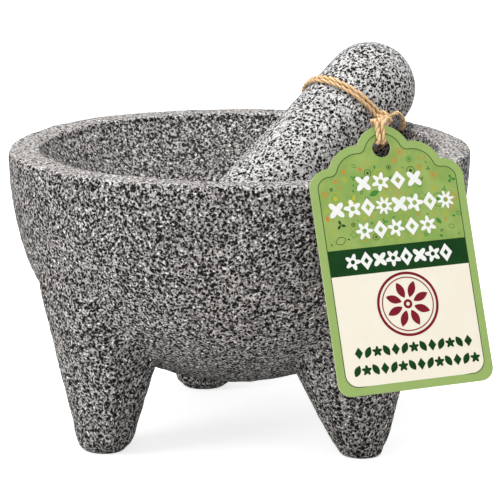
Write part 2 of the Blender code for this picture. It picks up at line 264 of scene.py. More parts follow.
def bubbles(P, N, cell, r_lo, r_hi, share, seed, deep):
    """How far each surface point sinks where gas bubbles in the stone are cut open by the surface."""
    q = P / cell + 1000.0
    base = np.floor(q)
    sink = np.zeros(len(P))
    for dx in (-1, 0, 1):
        for dy in (-1, 0, 1):
            for dz in (-1, 0, 1):
                c = base + (dx, dy, dz)
                there = lattice(c, seed) < share
                if not there.any():
                    continue
                cc = c[there]
                centre = (cc - 1000.0 + np.stack([lattice(cc, seed + k) for k in (11, 12, 13)], 1)) * cell
                r = r_lo + (r_hi - r_lo) * lattice(cc, seed + 14) ** 2
                d = P[there] - centre
                up = (d * N[there]).sum(1)
                chord = r * r - (d * d).sum(1) + up * up
                inside = (chord > 0) & (up * up < np.maximum(chord, 0))
                depth = np.where(inside, np.minimum(up + np.sqrt(np.maximum(chord, 0)), deep * r), 0)
                sink[there] = np.maximum(sink[there], depth)
    return sink


# ---------------------------------------------------------------- meshes
def new_object(name, mesh, *materials):
    o = bpy.data.objects.new(name, mesh)
    scene.collection.objects.link(o)
    for m in materials:
        mesh.materials.append(m)
    return o


def remeshed(name, source, voxel, rounds):
    """A dense, evenly spaced copy of a solid, with its sharp inner corners and edges worn round."""
    mesh = source.data.copy()
    mesh.materials.clear()
    o = bpy.data.objects.new(name + "_work", mesh)
    scene.collection.objects.link(o)
    mod = o.modifiers.new("even", "REMESH")
    mod.mode = "VOXEL"
    mod.voxel_size = voxel
    mod.use_smooth_shade = True
    if rounds:
        sm = o.modifiers.new("worn", "SMOOTH")
        sm.factor = 0.5
        sm.iterations = rounds
    dg = bpy.context.evaluated_depsgraph_get()
    dense = bpy.data.meshes.new_from_object(o.evaluated_get(dg))
    dense.name = name
    bpy.data.objects.remove(o, do_unlink=True)
    return dense


def arrays(mesh):
    co = np.zeros(len(mesh.vertices) * 3, np.float32)
    mesh.vertices.foreach_get("co", co)
    no = np.zeros(len(mesh.vertices) * 3, np.float32)
    mesh.vertex_normals.foreach_get("vector", no)
    return co.reshape(-1, 3).astype(float), no.reshape(-1, 3).astype(float)


def write(mesh, co):
    mesh.vertices.foreach_set("co", co.astype(np.float32).ravel())
    mesh.update()


def paint(mesh, name, values):
    a = mesh.attributes.get(name) or mesh.attributes.new(name, "FLOAT", "POINT")
    a.data.foreach_set("value", np.clip(values, 0, 1).astype(np.float32))


def step(x, lo, hi):
    t = np.clip((x - lo) / (hi - lo), 0, 1)
    return t * t * (3 - 2 * t)


# ---------------------------------------------------------------- stone
def stone_shader(name, tone, pit_scale, pit_size, pore_scale, pore_level, fleck, bump_mm, warm=0.0, pore_shade=0.016):
    """Vesicular basalt: a mid-grey ground of fine crystals, open pores painted nearly black as painted shade for the
    inside of the holes, and pale flecks.
    The pores that the mesh itself has come in by the pit attribute, and the finer ones are drawn here."""
    s = Shader(name)
    pit = s.attribute("pit")
    rub = s.attribute("rub")          # 0 as carved, 1 rubbed flat and dusty
    bowl_painted_light = s.attribute("bowl_painted_light")      # 1 in the bowl: painted light, the ground painted paler and its pores a little less dark
    bent = s.warp(850, 0.9 * MM)
    patch = s.noise(42, 2.0, 0.5)
    ground = s.noise(pore_scale * 0.8, 2.5, 0.65, shift=(0.31, 0.17, 0.07))
    light = tuple(tone[1] * (1 + warm * k) for k in (0.012, 0.0, -0.008))
    dark = tuple(tone[0] * (1 + warm * k) for k in (0.02, 0.0, -0.01))
    base = s.mix(s.ramp(ground, 0.34, 0.66), dark, light)
    base = s.mix(s.math("MULTIPLY", s.ramp(patch, 0.35, 0.7), 0.16), base, tuple(c * 1.25 for c in light))
    # painted light: the ground inside the bowl painted paler
    base = s.mix(s.math("MULTIPLY", bowl_painted_light, 0.12), base, tuple(c * 1.3 for c in light))
    base = s.mix(s.math("MULTIPLY", rub, 0.42), base, tuple(c * tone[2] for c in light))
    # round open pores: the cut faces of small cells, denser in some patches
    room = s.math("ADD", s.math("MULTIPLY", s.math("SUBTRACT", patch, 0.5), 0.10), pit_size)
    room = s.math("SUBTRACT", room, s.math("MULTIPLY", rub, 0.07))
    near = s.cells(pit_scale, at=bent)
    pore_and_shade = s.ramp(near, s.math("SUBTRACT", room, 0.035), s.math("ADD", room, 0.035), 1.0, 0.0)
    wide = s.cells(pit_scale * 0.47, at=bent, shift=(0.4, 0.1, 0.6))
    wide = s.ramp(wide, s.math("SUBTRACT", room, 0.14), s.math("SUBTRACT", room, 0.08), 1.0, 0.0)
    pore_and_shade = s.math("MAXIMUM", pore_and_shade, wide)
    # fine pores between them
    pores = s.noise(pore_scale, 1.2, 0.5, shift=(0.9, 0.35, 0.2))
    low = s.math("SUBTRACT", pore_level, s.math("MULTIPLY", rub, 0.03))
    fine = s.math("SUBTRACT", 1.0, s.ramp(pores, s.math("SUBTRACT", low, 0.018), s.math("ADD", low, 0.018)))
    pore_and_shade = s.math("MAXIMUM", pore_and_shade, s.math("MULTIPLY", fine, 0.85))
    # painted light: the pores inside the bowl painted a little less dark
    pore_and_shade = s.math("MULTIPLY", pore_and_shade, s.math("SUBTRACT", 1.0, s.math("MULTIPLY", bowl_painted_light, 0.04)))
    # painted shade: the mesh's own pits darkened by their depth
    pore_and_shade = s.math("MAXIMUM", pore_and_shade, s.ramp(pit, 0.15, 0.55))
    # painted shade: every pore, drawn or in the mesh, coloured nearly black for the shade inside it
    colour = s.mix(pore_and_shade, base, (pore_shade, pore_shade * 0.95, pore_shade * 0.92))
    # pale mineral flecks, sharp and small
    flecks = s.noise(pore_scale * 0.95, 0.8, 0.4, shift=(0.11, 0.83, 0.47))
    on = s.math("MULTIPLY", s.ramp(flecks, fleck, fleck + 0.05), s.math("SUBTRACT", 1.0, s.math("MULTIPLY", pore_and_shade, 0.7)))
    colour = s.mix(on, colour, (0.88, 0.86, 0.84))
    blush = s.noise(14, 2.0, 0.55, shift=(0.6, 0.1, 0.8))
    blush = s.math("MULTIPLY", s.ramp(blush, 0.45, 0.75), s.math("SUBTRACT", 1.0, pore_and_shade))
    colour = s.mix(s.math("MULTIPLY", blush, 0.16 if warm > 2 else 0.06), colour, (0.38, 0.29, 0.26))
    rust = s.cells(210, at=None, shift=(0.21, 0.5, 0.33))
    tint = s.math("MULTIPLY", s.ramp(rust, 0.0, 0.16, 1.0, 0.0), s.math("SUBTRACT", 1.0, pore_and_shade))
    colour = s.mix(s.math("MULTIPLY", tint, 0.22), colour, (0.34, 0.25, 0.20))
    height = s.math("ADD", s.math("MULTIPLY", pore_and_shade, -1.0), s.math("MULTIPLY", ground, 0.5))
    height = s.math("ADD", height, s.math("MULTIPLY", on, 0.35))
    return s.finish(colour, s.ramp(ground, 0.3, 0.7, 0.98, 0.86), s.bump(height, bump_mm * MM), Specular_IOR_Level=0.25)


mortar_stone = stone_shader("carved_basalt", (0.165, 0.49, 1.08), 700, 0.41, 960, 0.462, 0.615, 0.55, warm=4.0, pore_shade=0.003)
pestle_stone = stone_shader("ground_basalt", (0.30, 0.62, 1.2), 620, 0.37, 1000, 0.425, 0.64, 0.32, warm=1.0, pore_shade=0.004)

FINE = 0.62 * MM


def carve_mortar():
    mesh = remeshed("mortar_carved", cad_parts["mortar"], FINE, 4)
    P, N = arrays(mesh)
    # the lathe's flats are taken out: a point between two of the 72 corners moves out to the circle
    a = np.arctan2(P[:, 1], P[:, 0]) / (2 * pi / 72)
    off = (a - np.floor(a) - 0.5) * (2 * pi / 72)
    P[:, :2] *= (np.cos(off) / cos(pi / 72))[:, None]
    r = np.hypot(P[:, 0], P[:, 1])
    z = P[:, 2]
    sphere = (R_IN ** 2 + CAVITY ** 2) / (2 * CAVITY)
    mid = RIM_Z - CAVITY + sphere
    # both rim edges are crisper than a quarter round
    for centre, way in ((R_OUT - RIM_EDGE, 1), (R_IN + RIM_EDGE, -1)):
        u, v = (r - centre) * way, z - (RIM_Z - RIM_EDGE)
        at = (u > 0) & (v > 0)
        t = np.arctan2(v, u)
        k = np.where(at, (np.abs(np.cos(t)) ** 3.4 + np.abs(np.sin(t)) ** 3.4) ** (-1 / 3.4), 1.0)
        new_r = np.where(at, centre + way * u * k, r)
        z = np.where(at, RIM_Z - RIM_EDGE + v * k, z)
        P[:, :2] *= (new_r / np.maximum(r, 1e-9))[:, None]
        P[:, 2] = z
        r = new_r
    inside = (np.sqrt(r ** 2 + (z - mid) ** 2) < sphere + 1.5 * MM) & (r < R_IN + 3 * MM) & (z > RIM_Z - CAVITY - 3 * MM)
    top = step(z, RIM_Z - 1.1 * MM, RIM_Z - 0.35 * MM) * (~(inside & (r < R_IN - 0.6 * MM)))
    rub = top
    # hand work: slow waves, soft facets, then the pecked grain
    move = 0.34 * MM * field(P, 34 * MM, 1) + 0.22 * MM * field(P, 13 * MM, 2)
    move += (0.20 * MM * field(P, 4.5 * MM, 3) + 0.13 * MM * field(P, 1.9 * MM, 4)) * (1 - 0.45 * rub)
    move += np.where(inside, 0.10 * MM * field(P, 3.0 * MM, 5), 0)
    sink = bubbles(P, N, 4.6 * MM, 0.8 * MM, 1.35 * MM, 0.12, 21, 0.95) * (1 - 0.55 * rub)
    sink = np.maximum(sink, bubbles(P, N, 2.3 * MM, 0.45 * MM, 0.8 * MM, 0.42, 31, 1.0) * (1 - 0.45 * rub))
    # the two front feet are dressed to a blunt ridge, with a flat face on each side of it
    facing = np.arctan2(N[:, 1], N[:, 0])
    for azimuth, ridge, size in ((-54.8, -80, 13.5), (47.8, -100, 6.0)):
        axis = 70 * MM * np.array([sin(radians(azimuth)), -cos(radians(azimuth))])
        reach = np.hypot(P[:, 0] - axis[0], P[:, 1] - axis[1])
        leg = step(z, 60 * MM, 36 * MM) * step(z, 1.5 * MM, 7 * MM) * (reach < 32 * MM) * np.clip(1.25 - 1.25 * np.abs(N[:, 2]), 0, 1)
        turn = np.maximum(radians(35) - np.abs(facing - radians(ridge)), 0)
        move += size * MM * (1 / np.cos(turn) - 1) * leg
    co = P + N * (move - sink)[:, None]
    ground = P[:, 2] < 0.9 * MM
    co[:, 2] = np.where(ground, np.maximum(P[:, 2] - 0.2 * MM, 0.0), np.maximum(co[:, 2], 0.15 * MM))
    for azimuth in (-54.8, 47.8, 193.8):
        foot = 72 * MM * np.array([sin(radians(azimuth)), -cos(radians(azimuth))])
        near = np.hypot(*(co[:, :2] - foot).T) < 22 * MM
        worn = 1 - (0.17 if azimuth < 100 else 0.06) * np.clip(1 - co[:, 2] / (8 * MM), 0, 1) ** 2 * (1 + 0.35 * field(P, 9 * MM, 77))
        co[:, :2] = np.where(near[:, None], foot + (co[:, :2] - foot) * worn[:, None], co[:, :2])
    co[:, 2] += 1.1 * MM * step(co[:, 2], RIM_Z - 22 * MM, RIM_Z) * step(co[:, 1], 20 * MM, 80 * MM)
    write(mesh, co)
    # pit depth, which the stone's shader paints as shade
    paint(mesh, "pit", sink / (1.3 * MM))
    paint(mesh, "rub", rub)
    # painted light: the stone in the bowl painted paler, fading in over the first 6 mm below the rim
    paint(mesh, "bowl_painted_light", inside * (1 - rub) * step(RIM_Z - z, 0.0, 6 * MM))
    o = new_object("mortar_carved", mesh, mortar_stone)
    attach(o, "mortar")
    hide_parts("mortar")
    return o


def carve_pestle():
    mesh = remeshed("pestle_ground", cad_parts["pestle"], 0.52 * MM, 2)
    P, N = arrays(mesh)
    top, ax = np.array(PESTLE_TOP), np.array(AXIS)
    along = np.clip((P - top) @ ax, -PESTLE_SPAN, 0)
    on = top + along[:, None] * ax
    out = P - on
    out /= np.linalg.norm(out, axis=1)[:, None]
    P = on + out * PESTLE_R
    N = out
    move = 0.16 * MM * field(P, 26 * MM, 41) + 0.10 * MM * field(P, 9 * MM, 42) + 0.07 * MM * field(P, 2.4 * MM, 43)
    sink = bubbles(P, N, 3.6 * MM, 0.55 * MM, 1.1 * MM, 0.16, 51, 0.85)
    sink = np.maximum(sink, bubbles(P, N, 2.0 * MM, 0.35 * MM, 0.62 * MM, 0.40, 61, 0.9))
    co = P + N * (move - 0.12 * MM - sink)[:, None]
    write(mesh, co)
    # pit depth, which the stone's shader paints as shade
    paint(mesh, "pit", sink / (1.0 * MM))
    paint(mesh, "rub", np.zeros(len(P)))
    paint(mesh, "bowl_painted_light", np.zeros(len(P)))
    o = new_object("pestle_ground", mesh, pestle_stone)
    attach(o, "pestle")
    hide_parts("pestle")
    return o


# ---------------------------------------------------------------- twine routes, as in the model's source
def on_pestle(phi, s, lift):
    r = PESTLE_R
    if s < 0:
        r = sqrt(max(PESTLE_R ** 2 - s ** 2, 0))
    d = SIDE * cos(phi) + FRONT * sin(phi)
    return PESTLE_TOP - AXIS * s + d * (r + lift)


def even(points, spacing):
    """Even steps along a Catmull-Rom curve through the points."""
    P = [points[0] + (points[0] - points[1])] + list(points) + [points[-1] + (points[-1] - points[-2])]
    out = []
    for i in range(1, len(P) - 2):
        for k in range(24):
            t = k / 24
            a, b, c, d = P[i - 1], P[i], P[i + 1], P[i + 2]
            out.append(0.5 * ((2 * b) + (c - a) * t + (2 * a - 5 * b + 4 * c - d) * t * t
                              + (3 * b - a - 3 * c + d) * t ** 3))
    out.append(P[-2])
    Q = np.array([list(p) for p in out])
    s = np.concatenate([[0], np.cumsum(np.linalg.norm(np.diff(Q, axis=0), axis=1))])
    n = max(6, int(round(s[-1] / spacing)))
    want = np.linspace(0, s[-1], n + 1)
    return np.stack([np.interp(want, s, Q[:, k]) for k in range(3)], 1)


LIFT = GAP + TWINE_D / 2
KNOT = on_pestle(KNOT_PHI, 0.5 * (BAND_S[0] + BAND_S[1]) - 2.0 * MM, KNOT_R[2] + GAP)
knot_side = (FRONT * cos(KNOT_PHI) - SIDE * sin(KNOT_PHI)).normalized()
knot_out = (SIDE * cos(KNOT_PHI) + FRONT * sin(KNOT_PHI)).normalized()
band_end = (KNOT_R[0] + GAP + 0.2 * MM) / (PESTLE_R + LIFT)

bands = {}
for label, s0 in (("upper", BAND_S[0]), ("lower", BAND_S[1])):
    route = []
    for k in range(41):
        phi = KNOT_PHI + band_end + (2 * pi - 2 * band_end) * k / 40
        s = s0 + BAND_TILT[0] * cos(phi) + BAND_TILT[1] * sin(phi)
        route.append(on_pestle(phi, s, LIFT))
    bands[label] = route

tail = []
for k in range(6 * 3 + 1):
    i, t = min(k // 3, 5), k / 3 - min(k // 3, 5)
    four = [TAIL[min(max(j, 0), 6)] for j in (i - 1, i, i + 1, i + 2)]
    phi, s, lift = (
        0.5 * (2 * q + (r - p) * t + (2 * p - 5 * q + 4 * r - u) * t * t + (3 * q - p - 3 * r + u) * t ** 3)
        for p, q, r, u in zip(*four)
    )
    tail.append(on_pestle(radians(phi), s * MM, lift * MM))

flat_right = Vector((cos(TAG_YAW), sin(TAG_YAW), 0))
NORMAL = Vector((sin(TAG_YAW) * cos(TAG_TILT), -cos(TAG_YAW) * cos(TAG_TILT), sin(TAG_TILT)))
flat_up = -Vector((sin(TAG_YAW) * sin(TAG_TILT), -cos(TAG_YAW) * sin(TAG_TILT), -cos(TAG_TILT)))
HOLE = (Vector((sin(TAG_YAW), -cos(TAG_YAW), 0)) * TAG_OFFSET + Vector((0, 0, RIM_Z))
        + flat_right * TAG_HOLE_ACROSS + flat_up * TAG_HOLE_UP + NORMAL * (TAG_THICK / 2))
RIGHT = flat_right * cos(TAG_ROLL) + flat_up * sin(TAG_ROLL)
UP = flat_up * cos(TAG_ROLL) - flat_right * sin(TAG_ROLL)


def on_card(x, y, out):
    return HOLE + RIGHT * x + UP * y + NORMAL * out


TURN = 2.0 * MM
start = (HOLE - KNOT).normalized()
loops = {}
for label, dx in (("left", -1.08 * MM), ("right", 1.08 * MM)):
    across = RIGHT * dx
    root = KNOT + start * (KNOT_R[0] + GAP + 0.9 * MM)
    front_root = root + across * 0.98 + Vector((0, 0, 1.12 * MM))
    back_root = root + across * 0.98 - Vector((0, 0, 1.12 * MM))
    crest = on_card(dx, TAG_TOP + 2.7 * MM, -3.0 * MM)
    route = [front_root]
    for k in range(1, 7):
        f = k / 7
        p = front_root.lerp(crest, f)
        p.z -= 2.0 * MM * sin(pi * f)
        route.append(p)
    route += [
        crest,
        on_card(dx, TAG_TOP + 2.5 * MM, -0.8 * MM),
        on_card(dx, TAG_TOP + 1.8 * MM, 1.0 * MM),
        on_card(dx, TAG_TOP + 0.1 * MM, TURN + 0.05 * MM),
        on_card(dx, 0.5 * (TAG_TOP + TAG_HOLE_R), TURN - 0.2 * MM),
    ]
    for k in range(0, 7):
        a = pi * k / 6
        route.append(on_card(dx, TAG_HOLE_R + 0.2 * MM - TURN * sin(a), TURN * cos(a)))
    low = on_card(dx, TAG_HOLE_R + 2.6 * MM, -TURN - 0.9 * MM)
    route.append(low)
    for k in range(1, 8):
        f = k / 8
        p = low.lerp(back_root, f)
        p.z -= 1.6 * MM * sin(pi * f)
        route.append(p)
    route.append(back_root)
    loops[label] = route


# ---------------------------------------------------------------- twine
def jute_shader():
    s = Shader("jute_twine")
    tone = s.attribute("tone")
    deep = s.attribute("deep")
    streak = s.noise(900, 3.0, 0.6)
    colour = s.mix(s.ramp(tone, 0.0, 0.9), srgb(170, 118, 68), srgb(236, 198, 142))
    colour = s.mix(s.math("MULTIPLY", s.ramp(streak, 0.35, 0.7), 0.45), colour, srgb(254, 230, 188))
    # painted shade: the grooves between the plies darkened
    colour = s.mix(s.math("MULTIPLY", deep, 0.76), colour, srgb(92, 54, 24))
    return s.finish(colour, 0.82, s.bump(streak, 0.08 * MM), Specular_IOR_Level=0.3,
                    Sheen_Weight=0.25, Sheen_Roughness=0.5)


jute = jute_shader()


def turning_frames(Q):
    T = np.gradient(Q, axis=0)
    T /= np.linalg.norm(T, axis=1)[:, None]
    A = np.zeros_like(Q)
    a = np.cross(T[0], (0.0, 0.0, 1.0))
    if np.linalg.norm(a) < 0.1:
        a = np.cross(T[0], (1.0, 0.0, 0.0))
    a /= np.linalg.norm(a)
    for i in range(len(Q)):
        a = a - T[i] * (a @ T[i])
        a /= np.linalg.norm(a)
        A[i] = a
    return T, A, np.cross(T, A)


def rope(name, points, seed, d=TWINE_D, pitch=7.2 * MM, hairs_per_mm=3.2, close=0.0, loose_end=0.0, hair=1.0):
    """Two twisted plies with their fibres, as one closed tube along the points, and loose fibres on it.
    close draws the ends in; loose_end untwists and swells the last part, in metres."""
    rng = np.random.default_rng(seed)
    Q = even(points, 0.26 * MM)
    T, A, B = turning_frames(Q)
    n, m = len(Q), 26
    s = np.concatenate([[0], np.cumsum(np.linalg.norm(np.diff(Q, axis=0), axis=1))])
    th = np.linspace(0, 2 * pi, m, endpoint=False)
    S, TH = np.meshgrid(s, th, indexing="ij")
    wob = np.interp(s, np.linspace(0, s[-1], max(4, int(s[-1] / (7 * MM)))),
                    rng.normal(0, 0.7, max(4, int(s[-1] / (7 * MM)))))
    turn = 2 * pi * S / pitch + wob[:, None]
    local = TH - turn
    c, rho = 0.20 * d, 0.325 * d
    R = c * np.abs(np.cos(local)) + np.sqrt(rho ** 2 - (c * np.sin(local)) ** 2)
    # how far into the groove between the plies, where the shader paints shade
    deep = 1 - (R - R.min()) / (R.max() - R.min())
    ply = np.where(np.cos(local) > 0, 0.0, 1.0)
    fibre = np.sin(9 * local + 2 * pi * S / (1.9 * MM)) * 0.55 + np.sin(17 * local - 2 * pi * S / (2.6 * MM) + ply) * 0.45
    R = R * (1 + 0.055 * fibre)
    thick = np.interp(s, np.linspace(0, s[-1], max(4, int(s[-1] / (4 * MM)))),
                      rng.normal(1.0, 0.08, max(4, int(s[-1] / (4 * MM)))))
    R = R * thick[:, None]
    if close > 0:
        R = R * np.clip(0.35 + 0.65 * np.minimum(s, s[-1] - s) / close, 0, 1)[:, None]
    if loose_end > 0:
        R = R * (1 + 0.42 * step(s, s[-1] - loose_end, s[-1] - 0.3 * loose_end))[:, None]
    V = Q[:, None, :] + A[:, None, :] * (R * np.cos(TH))[..., None] + B[:, None, :] * (R * np.sin(TH))[..., None]
    verts = [V.reshape(-1, 3)]
    tone = 0.5 + 0.28 * fibre + 0.25 * rng.normal(0, 1, (n, 1)).cumsum(0) * 0.02
    tone += 0.16 * np.sin(3 * local + 2 * pi * S / (6.1 * MM))
    tones, groove_shades = [tone.ravel()], [step(deep.ravel(), 0.45, 1.0)]
    faces = []
    idx = np.arange(n * m).reshape(n, m)
    nxt = np.roll(idx, -1, axis=1)
    quads = np.stack([idx[:-1], nxt[:-1], nxt[1:], idx[1:]], -1).reshape(-1, 4)
    faces += quads.tolist()
    faces.append(list(reversed(idx[0].tolist())))
    faces.append(idx[-1].tolist())
    # loose fibres
    count = int(s[-1] / MM * hairs_per_mm)
    base = n * m
    spots = list(rng.uniform(0, s[-1], count))
    kinds = [0] * count
    if loose_end > 0:
        spots += [s[-1] - 0.2 * MM] * 60
        kinds += [1] * 60
    for at, kind in zip(spots, kinds):
        i = min(int(np.searchsorted(s, at)), n - 1)
        a = rng.uniform(0, 2 * pi)
        k = int(a / (2 * pi) * m) % m
        side = A[i] * cos(a) + B[i] * sin(a)
        if kind:
            root = Q[i] + side * R[i, k] * rng.uniform(0.1, 0.85)
            way = T[i] * rng.uniform(0.6, 1.2) + side * rng.uniform(0.1, 0.95) + np.array((0, 0, -0.35))
            length, thin = rng.uniform(1.0, 2.1) * MM, rng.uniform(0.055, 0.10) * MM
        else:
            root = Q[i] + side * R[i, k] * 0.8
            way = T[i] * rng.choice([-1, 1]) * rng.uniform(0.6, 1.6) + side * rng.uniform(0.25, 1.0)
            length, thin = rng.uniform(0.6, 2.2) * MM * hair, rng.uniform(0.030, 0.060) * MM
        way /= np.linalg.norm(way)
        bend = np.cross(way, rng.normal(0, 1, 3))
        bend /= max(np.linalg.norm(bend), 1e-9)
        u = np.cross(way, bend)
        u /= np.linalg.norm(u)
        rings = 4
        pts = []
        for q in range(rings):
            f = q / (rings - 1)
            centre = root + way * length * f + bend * length * 0.35 * f * f * (1 if kind == 0 else 0.5)
            w = thin * (1 - 0.65 * f)
            for g in range(3):
                ang = 2 * pi * g / 3
                pts.append(centre + bend * w * cos(ang) + u * w * sin(ang))
        verts.append(np.array(pts))
        for q in range(rings - 1):
            for g in range(3):
                h = (g + 1) % 3
                faces.append([base + 3 * q + g, base + 3 * q + h, base + 3 * q + 3 + h, base + 3 * q + 3 + g])
        faces.append([base + 2, base + 1, base])
        faces.append([base + 3 * rings - 3, base + 3 * rings - 2, base + 3 * rings - 1])
        tones.append(np.full(3 * rings, rng.uniform(0.55, 1.0)))
        groove_shades.append(np.zeros(3 * rings))
        base += 3 * rings
    mesh = bpy.data.meshes.new(name)
    mesh.from_pydata(np.concatenate(verts).tolist(), [], faces)
    mesh.update()
    mesh.shade_smooth()
    paint(mesh, "tone", np.concatenate(tones))
    paint(mesh, "deep", np.concatenate(groove_shades))
    o = new_object(name, mesh, jute)
    return o, s[-1], Q


def knot_piece():
    """The knot: the twine's own turns, drawn tight where bands, loops and loose end meet."""
    K = KNOT
    parts = []
    down = start
    x, y, z = knot_side, AXIS, knot_out

    def p(a, b, c):
        return K + x * a * MM + y * b * MM + z * c * MM

    # over the top from the bands to the loose end's side, and the crossing turn that locks it
    over = [p(4.2, -1.6, -1.4), p(3.0, -1.5, 0.4), p(1.4, -0.6, 1.9), p(-0.4, 0.6, 2.1), p(-2.0, 1.6, 1.2), p(-3.2, 2.4, -0.4), p(-4.2, 3.0, -1.2)]
    cross = [p(4.3, 0.8, -1.4), p(3.0, 1.4, 0.2), p(1.6, 1.7, 1.3), p(0.0, 0.6, 1.0), p(-1.2, -1.0, 1.5), p(-2.2, -2.2, 0.6), p(-2.6, -2.8, -1.4)]
    parts += [over, cross]
    # a turn round the roots of the two loops
    side = RIGHT
    other = down.cross(side).normalized()
    centre = K + down * 3.0 * MM
    ring = []
    for k in range(15):
        a = 2 * pi * k / 12 + 0.6
        ring.append(centre + side * 2.15 * MM * cos(a) + other * 1.75 * MM * sin(a) + down * (k - 7) * 0.13 * MM)
    parts.append(ring)
    # the loops' roots, into the knot
    for dx in (-1.0, 1.0):
        parts.append([K + down * 5.6 * MM + side * dx * MM, K + down * 3.4 * MM + side * dx * 0.9 * MM,
                      K + down * 1.2 * MM + side * dx * 0.8 * MM + z * 0.3 * MM, K - down * 0.8 * MM + side * dx * 0.7 * MM])
    made = []
    for i, pts in enumerate(parts):
        o, _, _ = rope("knot_part_%d" % i, pts, 70 + i, d=TWINE_D * (1.0 if i < 2 else 0.92), hairs_per_mm=2.2, close=0.9 * MM)
        made.append(o)
    bm = bmesh.new()
    tones, groove_shades = [], []
    for o in made:
        bm.from_mesh(o.data)
    mesh = bpy.data.meshes.new("knot_turns")
    bm.to_mesh(mesh)
    bm.free()
    for o in made:
        bpy.data.objects.remove(o, do_unlink=True)
    mesh.shade_smooth()
    k = new_object("knot_turns", mesh, jute)
    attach(k, "pestle")
    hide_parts("twine_knot")
    return k


knot = knot_piece()
# one run: out of the knot, once round the pestle, through the knot again and out as the loose end
upper_run = ([KNOT + knot_side * 2.4 * MM + AXIS * 0.6 * MM - knot_out * 0.6 * MM] + bands["upper"]
             + [KNOT - knot_side * 2.2 * MM + AXIS * 1.4 * MM - knot_out * 0.6 * MM] + tail)
lower_run = ([KNOT + knot_side * 2.4 * MM - AXIS * 1.2 * MM - knot_out * 0.6 * MM] + bands["lower"]
             + [KNOT - knot_side * 2.4 * MM - AXIS * 1.2 * MM - knot_out * 0.8 * MM])
o, length, Q = rope("twine_turn_and_end", upper_run, 11, loose_end=7 * MM)
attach(o, "pestle")
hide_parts("twine_band_upper", "twine_tail")
o, length, Q = rope("twine_turn_lower", lower_run, 12)
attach(o, "pestle")
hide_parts("twine_band_lower")
for i, label in enumerate(("left", "right")):
    o, length, Q = rope("twine_loop_" + label, loops[label], 41 + i, hairs_per_mm=2.4, hair=0.45)
    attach(o, "hanger")
    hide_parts("twine_hanger_" + label)

# ---------------------------------------------------------------- tag
CARD = Matrix((RIGHT, UP, NORMAL)).transposed().to_4x4()
CARD.translation = HOLE


def bow(x, y):
    """The card's slight set: bowed across, with the lower corners lifted, in metres off its plane."""
    return (-0.42 * MM * (x / TAG_HALF_W) ** 2 + 0.55 * MM * (max(-y - 45 * MM, 0) / (55 * MM)) ** 2
            * (0.35 + 0.65 * (x / TAG_HALF_W)))


def arc_points(p, q, bulge, n):
    p, q = Vector((*p, 0)), Vector((*q, 0))
    chord = q - p
    half = chord.length / 2
    r = (half ** 2 + bulge ** 2) / (2 * bulge)
    side = Vector((-chord.y, chord.x, 0)).normalized()
    centre = (p + q) / 2 - side * (r - bulge)
    a0 = atan2(p.y - centre.y, p.x - centre.x)
    a1 = atan2(q.y - centre.y, q.x - centre.x)
    if a1 > a0:
        a1 -= 2 * pi
    return [(centre.x + r * cos(a0 + (a1 - a0) * k / n), centre.y + r * sin(a0 + (a1 - a0) * k / n))
            for k in range(n)]


def tag_outline(fine=2):
    w, m = TAG_HALF_W, TAG_SHIFT
    n1, n2, sh = (10.9 * MM, 1.9 * MM), (24.3 * MM, -6.6 * MM), (w, -13.6 * MM)
    half = []
    half += arc_points((0.0, TAG_TOP), n1, 1.9 * MM, 8 * fine)
    half += arc_points(n1, n2, 2.6 * MM, 9 * fine)
    half += arc_points(n2, sh, 2.1 * MM, 9 * fine)
    half.append(sh)
    for k in range(1, 18):
        half.append((w, sh[1] + (-TAG_BOTTOM + TAG_CORNER - sh[1]) * k / 18))
    c = TAG_CORNER
    for k in range(6 * fine + 1):
        a = pi / 2 * k / (6 * fine)
        half.append((w - c + c * cos(a), -TAG_BOTTOM + c - c * sin(a)))
    for k in range(1, 9):
        half.append(((w - c) * (1 - k / 9), -TAG_BOTTOM))
    left = [(-x, y) for x, y in reversed(half[1:])]
    return [(x + m, y) for x, y in half + left]


def inset(outline, by):
    """The outline moved inward by a distance, with the overlaps at its notches taken out."""
    P = np.array(outline)
    nxt, prv = np.roll(P, -1, 0), np.roll(P, 1, 0)
    pts = []
    for i in range(len(P)):
        e0, e1 = P[i] - prv[i], nxt[i] - P[i]
        n0 = np.array([e0[1], -e0[0]]) / max(np.linalg.norm(e0), 1e-12)
        n1 = np.array([e1[1], -e1[0]]) / max(np.linalg.norm(e1), 1e-12)
        turn = n0[0] * n1[1] - n0[1] * n1[0]
        if turn > 0.25:          # a notch: swing round its point
            a0, a1 = atan2(n0[1], n0[0]), atan2(n1[1], n1[0])
            if a1 < a0:
                a1 += 2 * pi
            for k in range(9):
                a = a0 + (a1 - a0) * k / 8
                pts.append(P[i] + by * np.array([cos(a), sin(a)]))
        else:
            n = n0 + n1
            n /= np.linalg.norm(n)
            pts.append(P[i] + by * n)
    pts = np.array(pts)
    seg_a, seg_b = P, nxt
    keep = []
    for p in pts:
        d = seg_b - seg_a
        t = np.clip(((p - seg_a) * d).sum(1) / np.maximum((d * d).sum(1), 1e-18), 0, 1)
        keep.append(np.linalg.norm(p - seg_a - d * t[:, None], axis=1).min() > by - 0.06 * MM)
    return [tuple(p) for p in pts[np.array(keep)]]


OUTLINE = tag_outline()


def signed(loop):
    return sum(a[0] * b[1] - b[0] * a[1] for a, b in zip(loop, loop[1:] + loop[:1])) / 2


